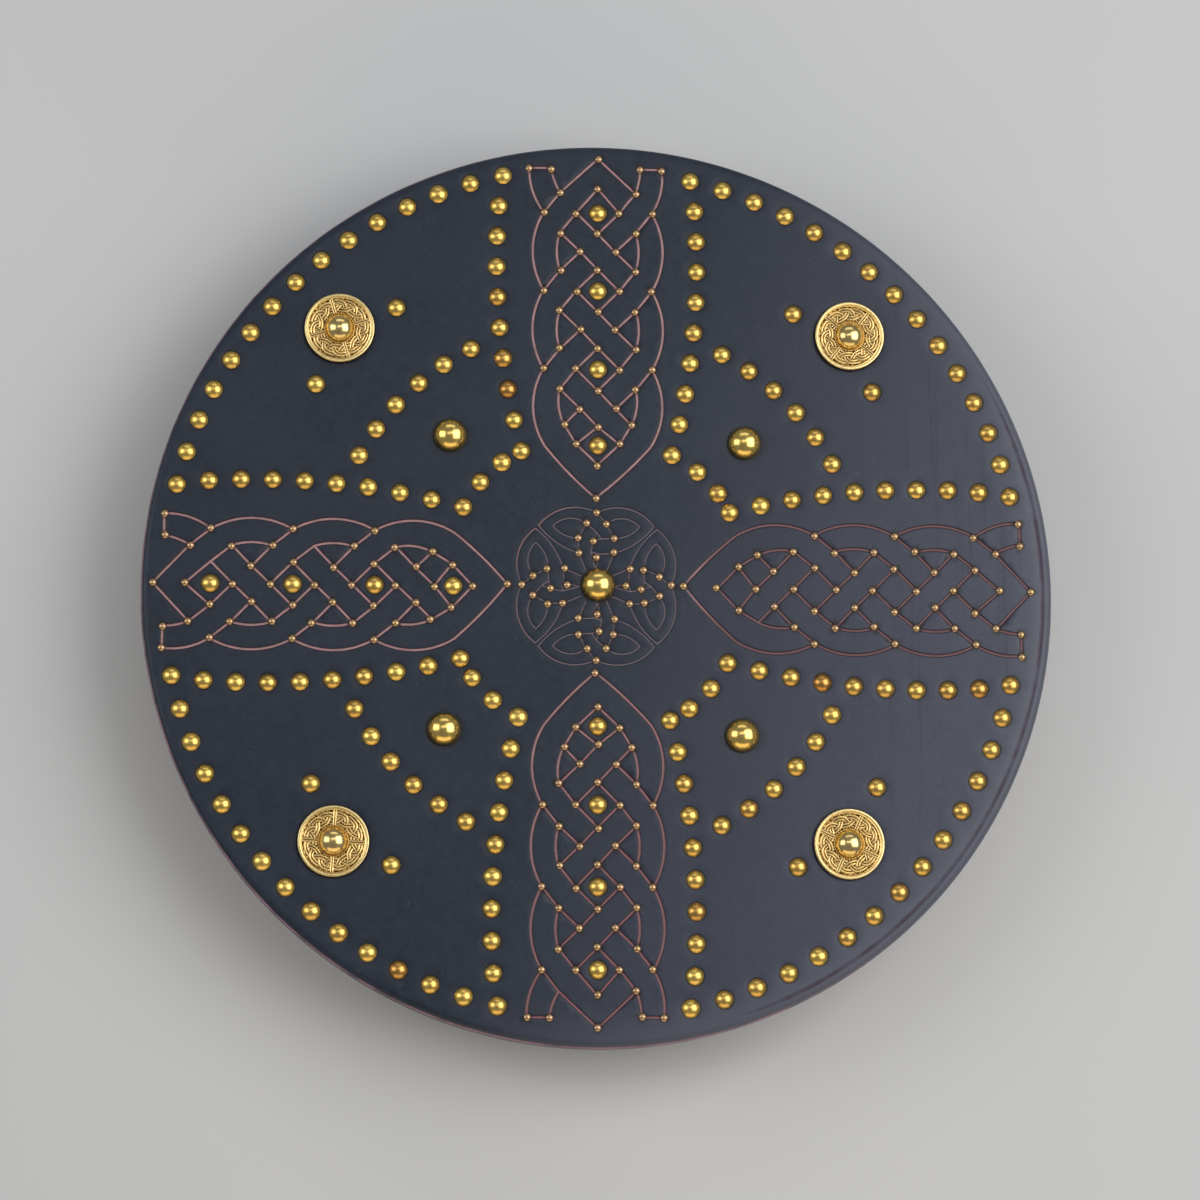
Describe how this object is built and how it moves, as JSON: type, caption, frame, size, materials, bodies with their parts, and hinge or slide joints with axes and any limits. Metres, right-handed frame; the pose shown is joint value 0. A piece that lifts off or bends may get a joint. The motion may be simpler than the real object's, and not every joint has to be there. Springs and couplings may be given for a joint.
{
  "type": "targe",
  "caption": "Round wooden shield faced with dark leather, tooled with knotwork and studded with brass, with an arm strap and a hand grip on its back.",
  "frame": {"origin": "centre of the disc, on the floor that the arm strap and hand grip lie on", "axes": "+Z out of the face, +Y towards the top of the design, +X to the right seen from the front"},
  "size_m": [0.508, 0.508, 0.0729],
  "materials": {
    "facing_leather": "fine-grained dark leather, satin",
    "board_wood": "sawn boards",
    "lining_leather": "soft undyed leather",
    "strap_leather": "thick brown leather",
    "brass": "polished",
    "antique_brass": "aged, darker in the hollows"
  },
  "bodies": {
    "root": {"board": "board_wood", "facing": "facing_leather", "lining": "lining_leather", "arm_strap": "strap_leather", "hand_grip": "strap_leather", "boss_centre": "brass", "boss_upper_right": "brass", "boss_upper_left": "brass", "boss_lower_left": "brass", "boss_lower_right": "brass", "roundel_upper_right": "antique_brass", "roundel_upper_left": "antique_brass", "roundel_lower_left": "antique_brass", "roundel_lower_right": "antique_brass", "roundel_stud_upper_right": "brass", "roundel_stud_upper_left": "brass", "roundel_stud_lower_left": "brass", "roundel_stud_lower_right": "brass", "flank_nail_upper_right_a": "brass", "flank_nail_upper_right_b": "brass", "flank_nail_upper_left_a": "brass", "flank_nail_upper_left_b": "brass", "flank_nail_lower_left_a": "brass", "flank_nail_lower_left_b": "brass", "flank_nail_lower_right_a": "brass", "flank_nail_lower_right_b": "brass", "knot_nail_top_1": "brass", "knot_nail_top_2": "brass", "knot_nail_top_3": "brass", "knot_nail_top_4": "brass", "knot_nail_left_1": "brass", "knot_nail_left_2": "brass", "knot_nail_left_3": "brass", "knot_nail_left_4": "brass", "knot_nail_bottom_1": "brass", "knot_nail_bottom_2": "brass", "knot_nail_bottom_3": "brass", "knot_nail_bottom_4": "brass", "strap_rivet_upper_a": "antique_brass", "strap_rivet_upper_b": "antique_brass", "strap_rivet_lower_a": "antique_brass", "strap_rivet_lower_b": "antique_brass", "grip_rivet_upper_a": "antique_brass", "grip_rivet_upper_b": "antique_brass", "grip_rivet_lower_a": "antique_brass", "grip_rivet_lower_b": "antique_brass"}
  },
  "joints": []
}
